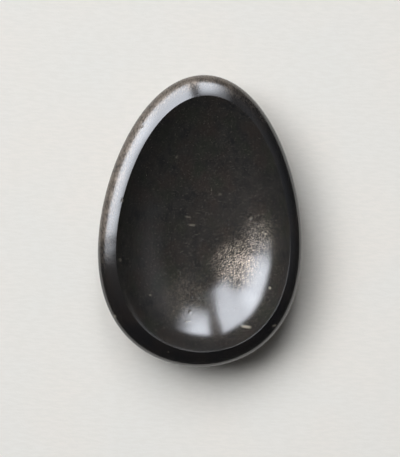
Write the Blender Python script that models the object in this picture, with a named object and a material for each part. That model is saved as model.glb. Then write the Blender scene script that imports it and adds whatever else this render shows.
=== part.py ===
"""Basalt massage stone: one egg-shaped, hand-polished stone with a dish ground into its flat top.

Run with: blender --background --python part.py
Lengths are in metres. +Y points to the narrow end and +Z up out of the dish. The origin is on the
resting face, under the middle of the outline.
"""

import math

import bmesh
import bpy
from mathutils import Vector

# Outline, seen from above.
LENGTH = 0.0800
WIDTH = 0.0559
TAPER = 0.178  # how much narrower the +Y end is than the -Y end
FULLNESS = 0.071  # how far both ends are filled out beyond a plain oval

# Pebble, domed underneath and nearly flat on top, before the dish is ground out of it.
THICKNESS = 0.0151
WAIST_HEIGHT = 0.0112  # of the widest line, above the resting face
RIM_ROUND = 0.0090  # how far in from the edge the top becomes level
FOOT_LENGTH = 0.0400  # of the flat resting face
FOOT_WIDTH = 0.0270

# Dish.
DISH_DEPTH = 0.0086  # of its deepest point, below the top of the whole pebble
RIM_WIDTH_AT_SIDES = 0.0043
RIM_WIDTH_AT_ENDS = 0.0052
DISH_SHIFT_X = 0.0009  # the dish sits a little off the middle of the outline
DISH_SHIFT_Y = -0.0008
DEEPEST_SHIFT_X = -0.0003  # and its deepest point lies towards the blunt end
DEEPEST_SHIFT_Y = -0.0050
WALL_STEEPNESS = 0.70  # 0 is an even bowl, 1 a flat floor with steep walls
CREST_ROUND = 0.0001  # height that the polishing took off the sharp crest

# Mesh.
SECTORS = 72
BELLY_RINGS = 9
RIM_RINGS = 7
CREST_STEPS = (1.045, 1.02, 1.0, 0.98, 0.955)  # shares of the way out from the dish's middle
DISH_RINGS = 9
SHARP_ABOVE = math.radians(40)

ANGLES = [math.tau * step / SECTORS for step in range(SECTORS)]


def swell(angle):
    """Half breadth of an egg of unit size at this angle, before it is scaled to its width."""
    along = math.sin(angle)
    return math.cos(angle) * (1 - TAPER * along + FULLNESS * along**2)


WIDEST = max(swell(math.tau * step / 3600) for step in range(3600))


def egg(length, width, angle):
    """Point on an egg-shaped outline, narrow end at +Y."""
    return Vector((width / 2 * swell(angle) / WIDEST, length / 2 * math.sin(angle)))


def edge(angle):
    return egg(LENGTH, WIDTH, angle)


def dish_middle():
    return Vector((DISH_SHIFT_X, DISH_SHIFT_Y))


def crest(angle):
    """Point of the line where the dish meets the rim, seen from above."""
    length = LENGTH - 2 * RIM_WIDTH_AT_ENDS
    width = WIDTH - 2 * RIM_WIDTH_AT_SIDES
    return dish_middle() + egg(length, width, angle)


def rim_height(inset):
    """Height of the pebble's rounded rim, this far in from its edge."""
    out = 1 - min(max(inset / RIM_ROUND, 0), 1)
    return WAIST_HEIGHT + (THICKNESS - WAIST_HEIGHT) * math.sqrt(1 - out**2)


def dish_height(share, crest_height):
    """Height of the ground dish, at this share of the way from its deepest point to the crest."""
    lowest = THICKNESS - DISH_DEPTH
    rise = (1 - WALL_STEEPNESS) * share**2 + WALL_STEEPNESS * share**4
    return lowest + (crest_height - lowest) * rise


def lower_of(first, second):
    """The lower of two heights, with the corner between them rounded off."""
    blend = 4 * CREST_ROUND
    overlap = max(blend - abs(first - second), 0) / blend
    return min(first, second) - CREST_ROUND * overlap**2


def top_point(angle, place, share):
    """Point of the polished top, at a place seen from above and its share of the way to the crest."""
    crest_height = rim_height((edge(angle) - crest(angle)).length)
    pebble = rim_height((edge(angle) - place).length)
    return place.to_3d() + Vector((0, 0, lower_of(pebble, dish_height(share, crest_height))))


def foot_ring():
    return [egg(FOOT_LENGTH, FOOT_WIDTH, angle).to_3d() for angle in ANGLES]


def belly_ring(turn):
    """Ring of the underside, from the foot at turn 0 round to the waist at a quarter turn."""
    height = WAIST_HEIGHT * (1 - math.cos(turn))
    ring = []
    for angle in ANGLES:
        foot = egg(FOOT_LENGTH, FOOT_WIDTH, angle)
        place = foot.lerp(edge(angle), math.sin(turn))
        ring.append(place.to_3d() + Vector((0, 0, height)))
    return ring


def rim_ring(turn):
    """Ring of the outer rim, from the waist at turn 0 to just short of the crest."""
    ring = []
    for angle in ANGLES:
        place = edge(angle).lerp(crest(angle), 1 - math.cos(turn))
        beyond = (place - crest(angle)).length / (crest(angle) - dish_middle()).length
        ring.append(top_point(angle, place, 1 + beyond))
    return ring


def dish_ring(share):
    """Ring of the dish and the crest, at this share of the way out from the deepest point."""
    middle = dish_middle()
    drift = Vector((DEEPEST_SHIFT_X, DEEPEST_SHIFT_Y)) * max(1 - share**2, 0)
    ring = []
    for angle in ANGLES:
        place = middle + drift + (crest(angle) - middle) * share
        ring.append(top_point(angle, place, share))
    return ring


def rings_from_foot_to_dish():
    quarter = math.pi / 2
    innermost_crest = CREST_STEPS[-1]
    rings = [foot_ring()]
    rings += [belly_ring(quarter * step / BELLY_RINGS) for step in range(1, BELLY_RINGS + 1)]
    rings += [rim_ring(quarter * step / (RIM_RINGS + 1)) for step in range(1, RIM_RINGS + 1)]
    rings += [dish_ring(share) for share in CREST_STEPS]
    rings += [dish_ring(innermost_crest * step / (DISH_RINGS + 1)) for step in range(DISH_RINGS, 0, -1)]
    return rings


def stone_mesh():
    """Closed skin: flat foot, belly, rim and dish, joined ring by ring."""
    shape = bmesh.new()
    rings = [[shape.verts.new(point) for point in ring] for ring in rings_from_foot_to_dish()]
    for lower, upper in zip(rings, rings[1:]):
        for here in range(SECTORS):
            beside = (here + 1) % SECTORS
            shape.faces.new((lower[here], lower[beside], upper[beside], upper[here]))
    shape.faces.new(reversed(rings[0]))
    deepest = dish_middle() + Vector((DEEPEST_SHIFT_X, DEEPEST_SHIFT_Y))
    bottom = shape.verts.new(deepest.to_3d() + Vector((0, 0, THICKNESS - DISH_DEPTH)))
    for here in range(SECTORS):
        shape.faces.new((rings[-1][here], rings[-1][(here + 1) % SECTORS], bottom))
    mesh = bpy.data.meshes.new("stone")
    shape.to_mesh(mesh)
    shape.free()
    mesh.shade_smooth()
    mesh.set_sharp_from_angle(angle=SHARP_ABOVE)
    return mesh


def polished_basalt():
    material = bpy.data.materials.new("polished_basalt")
    material.use_nodes = True
    shader = material.node_tree.nodes["Principled BSDF"]
    shader.inputs["Base Color"].default_value = (0.022, 0.021, 0.019, 1)
    shader.inputs["Roughness"].default_value = 0.22
    shader.inputs["Metallic"].default_value = 0
    return material


def main():
    for leftover in list(bpy.data.objects):
        bpy.data.objects.remove(leftover)
    stone = bpy.data.objects.new("stone", stone_mesh())
    stone.data.materials.append(polished_basalt())
    bpy.context.scene.collection.objects.link(stone)


main()
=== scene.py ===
"""Looks for the basalt massage stone: its fine polished surface, its stone material and a soft
daylight studio seen from straight above. Lengths are in metres."""

import math

import bpy
import numpy as np
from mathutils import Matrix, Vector


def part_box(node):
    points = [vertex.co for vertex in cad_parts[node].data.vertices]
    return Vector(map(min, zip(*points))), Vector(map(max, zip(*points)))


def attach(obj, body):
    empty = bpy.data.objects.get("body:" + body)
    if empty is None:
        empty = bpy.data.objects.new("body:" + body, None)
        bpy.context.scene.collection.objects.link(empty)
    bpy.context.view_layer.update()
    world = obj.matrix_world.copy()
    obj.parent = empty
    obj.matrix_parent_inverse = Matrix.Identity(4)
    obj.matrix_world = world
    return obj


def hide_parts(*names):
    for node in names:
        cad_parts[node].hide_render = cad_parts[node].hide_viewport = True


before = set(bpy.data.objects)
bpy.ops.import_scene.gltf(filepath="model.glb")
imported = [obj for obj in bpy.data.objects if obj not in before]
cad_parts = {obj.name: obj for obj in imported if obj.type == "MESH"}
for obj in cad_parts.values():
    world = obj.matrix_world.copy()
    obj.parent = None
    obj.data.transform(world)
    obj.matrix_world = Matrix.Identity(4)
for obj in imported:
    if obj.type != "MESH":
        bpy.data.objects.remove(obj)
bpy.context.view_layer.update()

MM = 0.001


# ---------------------------------------------------------------- shape of the stone

low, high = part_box("stone")
LENGTH = high.y - low.y
WIDTH = high.x - low.x
TAPER = 0.178  # how much narrower the +Y end is than the -Y end
FULLNESS = 0.071  # how far both ends are filled out beyond a plain oval

THICKNESS = 15.1 * MM  # of the whole pebble, before the dish was ground out of it
WAIST_HEIGHT = 11.2 * MM
RIM_ROUND = 9.0 * MM  # how far in from the edge the top becomes level
FOOT_LENGTH = 40.0 * MM
FOOT_WIDTH = 27.0 * MM

DISH_DEPTH = 8.6 * MM
RIM_WIDTH_AT_SIDES = 4.3 * MM
RIM_WIDTH_AT_ENDS = 5.2 * MM
DISH_MIDDLE = np.array((0.9, -0.8)) * MM
DEEPEST_SHIFT = np.array((-0.3, -5.0)) * MM
DEEPEST = DISH_MIDDLE + DEEPEST_SHIFT
WALL_STEEPNESS = 0.70
CREST_ROUND = 0.012 * MM
TOP_START = 0.5 * MM  # above the waist, where the unevenness of the top is fully there

SECTORS = 540
BELLY_RINGS = 26
RIM_RINGS = 52
CREST_RINGS = 9
DISH_RINGS = 86
CREST_FROM, CREST_TO = 1.005, 0.995  # the finely cut band round the crest, as shares of the dish
INNERMOST_RING = 0.02  # share of the way from the deepest point to the crest
RIM_END = 0.97  # of a quarter turn, just short of the crest's own rings

# Places in the dish where the polish is rubbed dull. Each has its x and y, how far from it the polish
# is whole again, all in millimetres, and how dull it is in the middle, as a share.
WORN_SPOTS = (
    (9.8, -11.6, 9.4, 1.0),
    (17.0, -4.0, 9.5, 0.45),
    (-5.0, -21.0, 10.5, 0.27),
)
DISH_DULLNESS = 0.08  # of the rest of the dish
SIDE_DULLNESS = 0.8  # of the stone's outer side
BELLY_DULLNESS = 0.2  # of the underside, as a share of what the outer side has
# The outer side's dullness fades out between two distances:
SIDE_WEAR = (1.6 * MM, 5.0 * MM)  # in from the outer edge
BELLY_GLOSS = (0.5 * MM, 5.0 * MM)  # down from the waist
BROAD_END_GLOSS = (0, 18.0 * MM)  # towards the broad end
RIGHT_SIDE_GLOSS = (2.0 * MM, 20.0 * MM)  # towards the right

# Each swell left by hand polishing: its wavelength, the way it runs, in degrees, and its height.
RIPPLES = (
    (13.0 * MM, 20, 0.030 * MM),
    (9.0 * MM, 75, 0.020 * MM),
    (6.5 * MM, 130, 0.012 * MM),
    (4.3 * MM, 100, 0.005 * MM),
)
# Each chip, pit or scratch: its middle's x and y, its length and breadth, in millimetres, the way it
# runs, in degrees, its depth, in millimetres, and how much of its pale raw stone shows, as a share.
DENTS = (
    (-17.6, 25.1, 1.9, 0.55, 4, 0.10, 0),
    (-21.5, 4.8, 0.9, 0.6, 60, 0.05, 0.3),
    (-21.6, -11.4, 1.0, 0.7, 100, 0.06, 0.2),
    (-13.2, -20.9, 0.6, 0.5, 0, 0.03, 0.3),
    (-22.6, -26.9, 0.9, 0.6, 40, 0.05, 0.3),
    (19.6, -17.7, 0.6, 0.5, 0, 0.03, 0.8),
    (-2.1, -25.2, 0.8, 0.5, 20, 0.05, 0),
    (13.7, 1.3, 1.2, 0.7, 50, 0.05, 0.15),
    (15.0, 0.2, 0.8, 0.5, 120, 0.04, 0),
    (5.0, 7.6, 0.9, 0.5, 0, 0.03, 0.15),
    (-7.3, 17.4, 0.9, 0.45, 10, 0.03, 0.2),
    (-2.4, -1.2, 1.8, 0.35, 3, 0.03, 0.35),
    (-3.6, 1.0, 1.6, 0.35, -4, 0.02, 0.25),
    (-2.5, -27.8, 1.8, 0.35, 5, 0.03, 0.25),
    (13.4, -28.5, 2.4, 0.5, -4, 0.06, 1),
    (21.0, -27.8, 1.0, 0.45, 10, 0.03, 0.4),
)

FOOT_SHARES = (0.25, 0.5, 0.75, 1)
BELLY_END = len(FOOT_SHARES) + BELLY_RINGS
FIRST_DISH_RING = BELLY_END + RIM_RINGS
CREST_RING = FIRST_DISH_RING + CREST_RINGS // 2
ANGLES = np.arange(SECTORS) * math.tau / SECTORS


def swell(angle):
    """Half breadth of an egg of unit size at this angle, before it is scaled to its width."""
    along = np.sin(angle)
    return np.cos(angle) * (1 - TAPER * along + FULLNESS * along**2)


WIDEST = swell(np.linspace(0, math.tau, 3601)).max()


def egg(length, width, angle=ANGLES):
    """Points on an egg-shaped outline, narrow end at +Y."""
    return np.stack((width / 2 * swell(angle) / WIDEST, length / 2 * np.sin(angle)), axis=-1)


EDGE = egg(LENGTH, WIDTH)
CREST = DISH_MIDDLE + egg(LENGTH - 2 * RIM_WIDTH_AT_ENDS, WIDTH - 2 * RIM_WIDTH_AT_SIDES)


def distance(first, second):
    return np.linalg.norm(first - second, axis=-1)


def rim_height(inset):
    """Height of the pebble's rounded rim, this far in from its edge."""
    out = 1 - np.clip(inset / RIM_ROUND, 0, 1)
    return WAIST_HEIGHT + (THICKNESS - WAIST_HEIGHT) * np.sqrt(1 - out**2)


def dish_height(share, crest_height):
    """Height of the ground dish, at this share of the way from its deepest point to the crest."""
    lowest = THICKNESS - DISH_DEPTH
    rise = (1 - WALL_STEEPNESS) * share**2 + WALL_STEEPNESS * share**4
    return lowest + (crest_height - lowest) * rise


def lower_of(first, second):
    """The lower of two heights, with the corner between them rounded off."""
    blend = 4 * CREST_ROUND
    overlap = np.clip(blend - abs(first - second), 0, None) / blend
    return np.minimum(first, second) - CREST_ROUND * overlap**2


def with_height(place, height):
    return np.concatenate((place, np.broadcast_to(height, (SECTORS,))[:, None]), axis=1)


def top_ring(place, share):
    """Ring of the polished top, at places seen from above and their share of the way to the crest."""
    crest_height = rim_height(distance(EDGE, CREST))
    pebble = rim_height(distance(EDGE, place))
    return with_height(place, lower_of(pebble, dish_height(share, crest_height)))


def belly_ring(turn):
    """Ring of the underside, from the foot at turn 0 round to the waist at a quarter turn."""
    foot = egg(FOOT_LENGTH, FOOT_WIDTH)
    return with_height(foot + (EDGE - foot) * math.sin(turn), WAIST_HEIGHT * (1 - math.cos(turn)))


def rim_ring(turn):
    """Ring of the outer rim, from the waist at turn 0 towards the crest at a quarter turn."""
    place = EDGE + (CREST - EDGE) * (1 - math.cos(turn))
    beyond = distance(place, CREST) / distance(CREST, DISH_MIDDLE)
    return top_ring(place, 1 + beyond)


def dish_ring(share):
    """Ring of the dish and the crest, at this share of the way out from the deepest point."""
    drift = DEEPEST_SHIFT * max(1 - share**2, 0)
    return top_ring(DISH_MIDDLE + drift + (CREST - DISH_MIDDLE) * share, share)


def stone_rings():
    quarter = math.pi / 2
    rings = [with_height(egg(FOOT_LENGTH * share, FOOT_WIDTH * share), 0) for share in FOOT_SHARES]
    rings += [belly_ring(quarter * step / BELLY_RINGS) for step in range(1, BELLY_RINGS + 1)]
    rings += [rim_ring(turn) for turn in np.linspace(0, quarter * RIM_END, RIM_RINGS + 1)[1:]]
    rings += [dish_ring(share) for share in np.linspace(CREST_FROM, CREST_TO, CREST_RINGS)]
    rings += [dish_ring(share) for share in np.linspace(CREST_TO, INNERMOST_RING, DISH_RINGS)[1:]]
    return np.array(rings)


def hand_polish(points):
    """How far the polished top lies below its true shape, from long swells out of step."""
    drop = np.zeros(points.shape[:-1])
    for wavelength, direction, height in RIPPLES:
        turn = math.radians(direction)
        along = points[..., 0] * math.cos(turn) + points[..., 1] * math.sin(turn)
        drop += height / 2 * (1 + np.sin(math.tau * along / wavelength + direction))
    return drop


def dents(points):
    """How deep each point lies in a chip, pit or scratch of the top, and how pale it is there."""
    drop = np.zeros(points.shape[:-1])
    pale = np.zeros(points.shape[:-1])
    for *sizes, direction, depth, paleness in DENTS:
        middle_x, middle_y, length, breadth = (size * MM for size in sizes)
        turn = math.radians(direction)
        x, y = points[..., 0] - middle_x, points[..., 1] - middle_y
        along = x * math.cos(turn) + y * math.sin(turn)
        across = y * math.cos(turn) - x * math.sin(turn)
        within = np.exp(-((2 * along / length) ** 4) - (2 * across / breadth) ** 4)
        drop += depth * MM * within
        pale += paleness * within
    return drop, pale


def wear(rings):
    """How dull the stone is: 1 where the polish is rubbed off, and 0 where it is whole."""
    polish = np.full(rings.shape[:2], 1 - DISH_DULLNESS)
    for x, y, reach, dullness in WORN_SPOTS:
        near = share_between(distance(rings[..., :2], np.array((x, y)) * MM), 0, reach * MM)
        polish *= 1 - dullness * near**2 * (3 - 2 * near)
    dulled = 1 - polish
    side = share_between(distance(rings[..., :2], EDGE), *SIDE_WEAR)
    belly = share_between(WAIST_HEIGHT - rings[..., 2], *BELLY_GLOSS)
    side[:BELLY_END] = (BELLY_DULLNESS + (1 - BELLY_DULLNESS) * belly)[:BELLY_END]
    side *= share_between(-rings[..., 1], *BROAD_END_GLOSS)
    side *= share_between(rings[..., 0], *RIGHT_SIDE_GLOSS)
    dulled[:CREST_RING] = SIDE_DULLNESS * side[:CREST_RING]
    return dulled


def outside(rings):
    """1 on the rim and the belly, 0 in the dish."""
    mask = np.zeros(rings.shape[:2])
    mask[:CREST_RING] = 1
    return mask


def share_between(value, full, none):
    """1 up to one value, falling to 0 at another."""
    return np.clip((none - value) / (none - full), 0, 1)


def stone_mesh():
    """Closed skin of the stone, from the middle of the foot round to the deepest point."""
    rings = stone_rings()
    rings[..., 2] *= high.z / rings[..., 2].max()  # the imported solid's coarser crest is a hair lower
    on_top = np.clip((rings[..., 2] - WAIST_HEIGHT) / TOP_START, 0, 1)
    on_top[FIRST_DISH_RING:] = 1
    chipped, pale = dents(rings)
    rings[..., 2] -= (hand_polish(rings) + chipped) * on_top
    ends = np.array(((0, 0, 0), (*DEEPEST, THICKNESS - DISH_DEPTH)))
    points = np.concatenate((rings.reshape(-1, 3), ends))
    here = np.arange(SECTORS)
    beside = (here + 1) % SECTORS
    faces = []
    for ring in range(len(rings) - 1):
        lower, upper = ring * SECTORS, (ring + 1) * SECTORS
        faces += np.stack((lower + here, lower + beside, upper + beside, upper + here), axis=1).tolist()
    last = (len(rings) - 1) * SECTORS
    foot_middle, dish_bottom = len(points) - 2, len(points) - 1
    faces += [(int(b), int(a), foot_middle) for a, b in zip(here, beside)]
    faces += [(int(last + a), int(last + b), dish_bottom) for a, b in zip(here, beside)]
    mesh = bpy.data.meshes.new("polished_stone")
    mesh.from_pydata(points.tolist(), [], faces)
    mesh.shade_smooth()
    for name, values in (("wear", wear(rings)), ("outside", outside(rings)), ("chips", pale * on_top)):
        layer = mesh.attributes.new(name, "FLOAT", "POINT")
        layer.data.foreach_set("value", np.append(values.ravel(), (values[0, 0], values[-1, 0])))
    return mesh


# ---------------------------------------------------------------- stone material

DARK_GREY = (0.0105, 0.0105, 0.0105)
MID_GREY = (0.0215, 0.0200, 0.0175)
BROWN = (0.0225, 0.0170, 0.0140)
OLIVE = (0.0165, 0.0180, 0.0126)
HATCH_GREY = (0.032, 0.029, 0.024)
GRAIN_GREY = (0.050, 0.043, 0.035)
HAIRLINE = (0.10, 0.09, 0.07)
RIM_BLACK = (0.0026, 0.0027, 0.0034)
RIM_BROWN = (0.0070, 0.0054, 0.0048)
FLECK = (0.24, 0.21, 0.16)
RAW_STONE = (0.42, 0.37, 0.28)
COPPER = (1, 0.82, 0.65, 1)  # tint of the glint off the bare grain

GRAIN_SIZE = 0.42 * MM
DISH_ROUGHNESS, RIM_ROUGHNESS = 0.21, 0.42  # of the bare grain, under the polish
FULLY_DULL = 0.7  # how dull it must be for the bare grain to glint in full


def add_node(tree, kind, inputs=None, **settings):
    """New shader node with these settings, and these values on its input sockets."""
    node = tree.nodes.new(kind)
    for name, value in settings.items():
        setattr(node, name, value)
    for socket, value in (inputs or {}).items():
        node.inputs[socket].default_value = value
    return node


def noise(tree, feature, stretch=(1, 1, 1), detail=2):
    """Noise between 0 and 1 whose blotches are about this long, stretched along some axes."""
    place = tree.nodes.new("ShaderNodeTexCoord").outputs["Object"]
    scale = [1 / (feature * factor) for factor in stretch]
    mapping = add_node(tree, "ShaderNodeMapping", {"Scale": scale})
    texture = add_node(tree, "ShaderNodeTexNoise", {"Scale": 1, "Detail": detail})
    tree.links.new(place, mapping.inputs["Vector"])
    tree.links.new(mapping.outputs[0], texture.inputs["Vector"])
    return texture.outputs["Fac"]


def specks(tree, spacing, radius, share):
    """1 on small round specks, 0 between them. Only this share of the cells holds one."""
    place = tree.nodes.new("ShaderNodeTexCoord").outputs["Object"]
    cells = add_node(tree, "ShaderNodeTexVoronoi", {"Scale": 1 / spacing})
    tree.links.new(place, cells.inputs["Vector"])
    near = fade(tree, cells.outputs["Distance"], radius / spacing, radius / spacing * 0.4)
    pick = tree.nodes.new("ShaderNodeSeparateColor")
    tree.links.new(cells.outputs["Color"], pick.inputs[0])
    chosen = fade(tree, pick.outputs["Red"], share, share * 0.98)
    return multiply(tree, near, chosen)


def fade(tree, value, from_value, to_value, low=0, high=1):
    """Smooth change from low to high as the value goes from one end to the other."""
    limits = {"From Min": from_value, "From Max": to_value, "To Min": low, "To Max": high}
    node = add_node(tree, "ShaderNodeMapRange", limits, interpolation_type="SMOOTHSTEP")
    tree.links.new(value, node.inputs["Value"])
    return node.outputs[0]


def multiply(tree, first, second):
    node = add_node(tree, "ShaderNodeMath", operation="MULTIPLY")
    tree.links.new(first, node.inputs[0])
    tree.links.new(second, node.inputs[1])
    return node.outputs[0]


def blend(tree, factor, first, second):
    """Colour between two others. Each is a socket or a plain colour."""
    node = add_node(tree, "ShaderNodeMix", data_type="RGBA")
    tree.links.new(factor, node.inputs["Factor"])
    for socket, colour in zip((node.inputs[6], node.inputs[7]), (first, second)):
        if isinstance(colour, tuple):
            socket.default_value = (*colour, 1)
        else:
            tree.links.new(colour, socket)
    return node.outputs[2]


def bumps(tree, heights):
    """Normal that carries several height fields, each with how deep it is."""
    normal = None
    for height, depth in heights:
        node = add_node(tree, "ShaderNodeBump", {"Strength": 1, "Distance": depth})
        tree.links.new(height, node.inputs["Height"])
        if normal:
            tree.links.new(normal, node.inputs["Normal"])
        normal = node.outputs["Normal"]
    return normal


def attribute(tree, name):
    return add_node(tree, "ShaderNodeAttribute", attribute_name=name).outputs["Fac"]


def drive(tree, shader, socket, value, plain_value):
    """Feeds a socket of the shader, and leaves a plain value on it for when the link is dropped."""
    shader.inputs[socket].default_value = plain_value
    tree.links.new(value, shader.inputs[socket])


def stone_colour(tree, grain, hatch):
    """Near black, browner and greener in patches, paler in the dish, with raw stone in its chips."""
    mottle = fade(tree, noise(tree, 2.2 * MM, (1, 1.3, 1), detail=6), 0.36, 0.64)
    brown = fade(tree, noise(tree, 8 * MM, detail=4), 0.42, 0.66)
    olive = fade(tree, noise(tree, 5.5 * MM, (1, 1.6, 1), detail=4), 0.46, 0.7)
    flecks = specks(tree, 2.6 * MM, 0.13 * MM, 0.12)
    hairlines = fade(tree, noise(tree, 0.14 * MM, (16, 1, 1), detail=1), 0.72, 0.8)
    dish = blend(tree, brown, blend(tree, mottle, DARK_GREY, MID_GREY), BROWN)
    dish = blend(tree, olive, dish, OLIVE)
    dish = blend(tree, fade(tree, hatch, 0.42, 0.68, 0, 0.5), dish, HATCH_GREY)
    dish = blend(tree, fade(tree, grain, 0.55, 0.72), dish, GRAIN_GREY)
    dish = blend(tree, hairlines, dish, HAIRLINE)
    rim = blend(tree, brown, RIM_BLACK, RIM_BROWN)
    body = blend(tree, attribute(tree, "outside"), dish, rim)
    body = blend(tree, flecks, body, FLECK)
    return blend(tree, attribute(tree, "chips"), body, RAW_STONE)


def stone_material():
    """A glassy polish over rougher, warmly glinting grain that shows where the polish is worn."""
    material = bpy.data.materials.new("polished_basalt")
    material.use_nodes = True
    tree = material.node_tree
    shader = tree.nodes["Principled BSDF"]
    grain = noise(tree, GRAIN_SIZE, detail=4)
    hatch = noise(tree, 0.3 * MM, (1, 12, 1), detail=2)
    pits = specks(tree, 1.9 * MM, 0.2 * MM, 0.12)
    tree.links.new(stone_colour(tree, grain, hatch), shader.inputs["Base Color"])

    streaks = fade(tree, noise(tree, 0.45 * MM, (1, 2.5, 1), detail=5), 0.36, 0.64, 0.45, 1)
    patches = fade(tree, noise(tree, 4 * MM, detail=5), 0.32, 0.7, 0.65, 1)
    dull = multiply(tree, attribute(tree, "wear"), multiply(tree, streaks, patches))

    # The bare grain.
    outer = attribute(tree, "outside")
    roughness = fade(tree, outer, 0, 1, DISH_ROUGHNESS, RIM_ROUGHNESS)
    tree.links.new(roughness, shader.inputs["Roughness"])
    drive(tree, shader, "Specular IOR Level", fade(tree, dull, 0, FULLY_DULL, 0.05, 1), 0.3)
    shader.inputs["IOR"].default_value = 2.0
    shader.inputs["Specular Tint"].default_value = COPPER
    rough_grain = bumps(tree, ((grain, 0.15 * MM), (hatch, 0.016 * MM), (pits, -0.03 * MM)))
    tree.links.new(rough_grain, shader.inputs["Normal"])

    # The polish over it.
    drive(tree, shader, "Coat Weight", fade(tree, dull, 0, FULLY_DULL, 1, 0.6), 0.9)
    drive(tree, shader, "Coat Roughness", fade(tree, dull, 0, 0.8, 0.12, 0.22), 0.15)
    shader.inputs["Coat IOR"].default_value = 1.85
    fine_grain = bumps(tree, ((grain, 0.006 * MM), (hatch, 0.002 * MM), (pits, -0.03 * MM)))
    tree.links.new(fine_grain, shader.inputs["Coat Normal"])
    return material


# ---------------------------------------------------------------- studio

CAMERA_HEIGHT = 0.38  # above the stone's waist
VIEW_LENGTH = 125.2 * MM  # of the long side of the field of view, at the waist
VIEW_CENTRE = Vector((-0.17, -2.08)) * MM
VIEW_ROLL = math.radians(2.04)

WINDOW_DISTANCE = 1.5
DAYLIGHT = (0.92, 0.97, 1.06)
# Each window's edges and its lowest and highest elevation, in degrees, seen from the stone, with the
# edges counted from +X towards +Y. Its fades are the shares of it over which it dims towards its
# first edge, last edge, bottom and top.
WINDOWS = {
    "near_left_window": {
        "edges": (104, 156),
        "elevations": (26, 81),
        "brightness": 6.0,
        "fades": (0.06, 0.55, 0.04, 0.35),
    },
    "far_left_window": {
        "edges": (130, 184),
        "elevations": (27, 71),
        "brightness": 7.2,
        "fades": (0.4, 0.25, 0.13, 0.8),
    },
    "top_window": {
        "edges": (62, 97),
        "elevations": (27, 72),
        "brightness": 7.2,
        "fades": (0.7, 0.07, 0.08, 0.95),
    },
    "right_wall": {
        "edges": (-30, 70),
        "elevations": (8, 75),
        "brightness": 0.22,
        "fades": (0.5, 0.5, 0.4, 0.7),
    },
}

ROOM_LIGHT = (0.95, 0.96, 1, 1)
BACKDROP = (0.78, 0.77, 0.75, 1)

TABLE_RADIUS = 0.9
TABLE_WHITE = (0.80, 0.755, 0.668)
TABLE_CREAM = (0.82, 0.755, 0.658)
WEAVE_SHADE = (0.762, 0.712, 0.62)


def camera():
    data = bpy.data.cameras.new("camera")
    data.sensor_width = 36
    data.lens = data.sensor_width * CAMERA_HEIGHT / VIEW_LENGTH
    data.clip_start = 0.01
    made = bpy.data.objects.new("camera", data)
    made.location = (*VIEW_CENTRE, WAIST_HEIGHT + CAMERA_HEIGHT)
    made.rotation_euler = (0, 0, VIEW_ROLL)
    bpy.context.scene.collection.objects.link(made)
    bpy.context.scene.camera = made


def window(name, edges, elevations, brightness, fades):
    """Upright rectangular softbox that faces the stone and spans these directions, in degrees."""
    turn = math.radians(sum(edges) / 2) + VIEW_ROLL
    spread = math.radians(edges[1] - edges[0])
    bottom, top = (WINDOW_DISTANCE * math.tan(math.radians(elevation)) for elevation in elevations)
    data = bpy.data.lights.new(name, "AREA")
    data.shape = "RECTANGLE"
    data.size = 2 * WINDOW_DISTANCE * math.tan(spread / 2)
    data.size_y = top - bottom
    data.energy = math.pi * brightness * data.size * data.size_y
    data.color = DAYLIGHT
    fade_out(data, *fades)
    made = bpy.data.objects.new(name, data)
    towards = Vector((math.cos(turn), math.sin(turn), 0))
    made.location = towards * WINDOW_DISTANCE + Vector((0, 0, (bottom + top) / 2))
    made.rotation_euler = towards.to_track_quat("Z", "Y").to_euler()
    bpy.context.scene.collection.objects.link(made)


def fade_out(light, first, last, bottom, top):
    """Dims a softbox towards its first edge, last edge, bottom and top, over these shares of it."""
    light.use_nodes = True
    tree = light.node_tree
    place = tree.nodes.new("ShaderNodeNewGeometry").outputs["Parametric"]
    split = tree.nodes.new("ShaderNodeSeparateXYZ")
    tree.links.new(place, split.inputs[0])
    across, upward = split.outputs["X"], split.outputs["Y"]
    sides = multiply(tree, fade(tree, across, 0, first), fade(tree, across, 1, 1 - last))
    ends = multiply(tree, fade(tree, upward, 0, bottom), fade(tree, upward, 1, 1 - top))
    tree.links.new(multiply(tree, sides, ends), tree.nodes["Emission"].inputs["Strength"])


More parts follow.
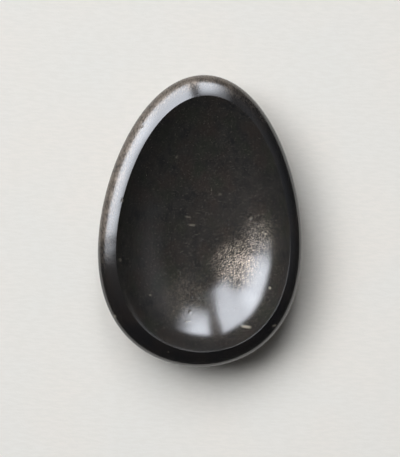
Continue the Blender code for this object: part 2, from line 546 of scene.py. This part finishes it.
def room():
    """Dim room light. The camera itself sees a pale backdrop beyond the floor."""
    world = bpy.data.worlds.new("room")
    bpy.context.scene.world = world
    world.use_nodes = True
    tree = world.node_tree
    tree.nodes.clear()
    dim = add_node(tree, "ShaderNodeBackground", {"Color": ROOM_LIGHT, "Strength": 0.04})
    pale = add_node(tree, "ShaderNodeBackground", {"Color": BACKDROP, "Strength": 1.0})
    path = tree.nodes.new("ShaderNodeLightPath")
    mix = tree.nodes.new("ShaderNodeMixShader")
    out = tree.nodes.new("ShaderNodeOutputWorld")
    tree.links.new(path.outputs["Is Camera Ray"], mix.inputs[0])
    tree.links.new(dim.outputs[0], mix.inputs[1])
    tree.links.new(pale.outputs[0], mix.inputs[2])
    tree.links.new(mix.outputs[0], out.inputs["Surface"])


def table_material():
    """Matt white with a faint woven grain and hardly visible clouds."""
    material = bpy.data.materials.new("table_white")
    material.use_nodes = True
    tree = material.node_tree
    shader = tree.nodes["Principled BSDF"]
    weave = noise(tree, 0.8 * MM, (4, 1, 1), detail=3)
    fibres = noise(tree, 0.5 * MM, detail=3)
    clouds = fade(tree, noise(tree, 30 * MM), 0.3, 0.7)
    paint = blend(tree, clouds, TABLE_WHITE, TABLE_CREAM)
    paint = blend(tree, fade(tree, weave, 0.35, 0.65, 0, 0.5), paint, WEAVE_SHADE)
    tree.links.new(paint, shader.inputs["Base Color"])
    shader.inputs["Roughness"].default_value = 0.8
    tree.links.new(bumps(tree, ((weave, 0.03 * MM), (fibres, 0.02 * MM))), shader.inputs["Normal"])
    return material


def floor():
    mesh = bpy.data.meshes.new("table_top")
    rim = [(TABLE_RADIUS * math.cos(turn), TABLE_RADIUS * math.sin(turn), 0) for turn in ANGLES[::5]]
    mesh.from_pydata(rim, [], [range(len(rim))])
    mesh.materials.append(table_material())
    made = bpy.data.objects.new("table_top", mesh)
    bpy.context.scene.collection.objects.link(made)


# ---------------------------------------------------------------- build


def build_stone():
    stone = bpy.data.objects.new("polished_stone", stone_mesh())
    stone.data.materials.append(stone_material())
    bpy.context.scene.collection.objects.link(stone)
    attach(stone, "root")
    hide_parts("stone")


camera()
for name, sizes in WINDOWS.items():
    window(name, **sizes)
room()
floor()
build_stone()
bpy.context.scene.view_settings.view_transform = "Standard"
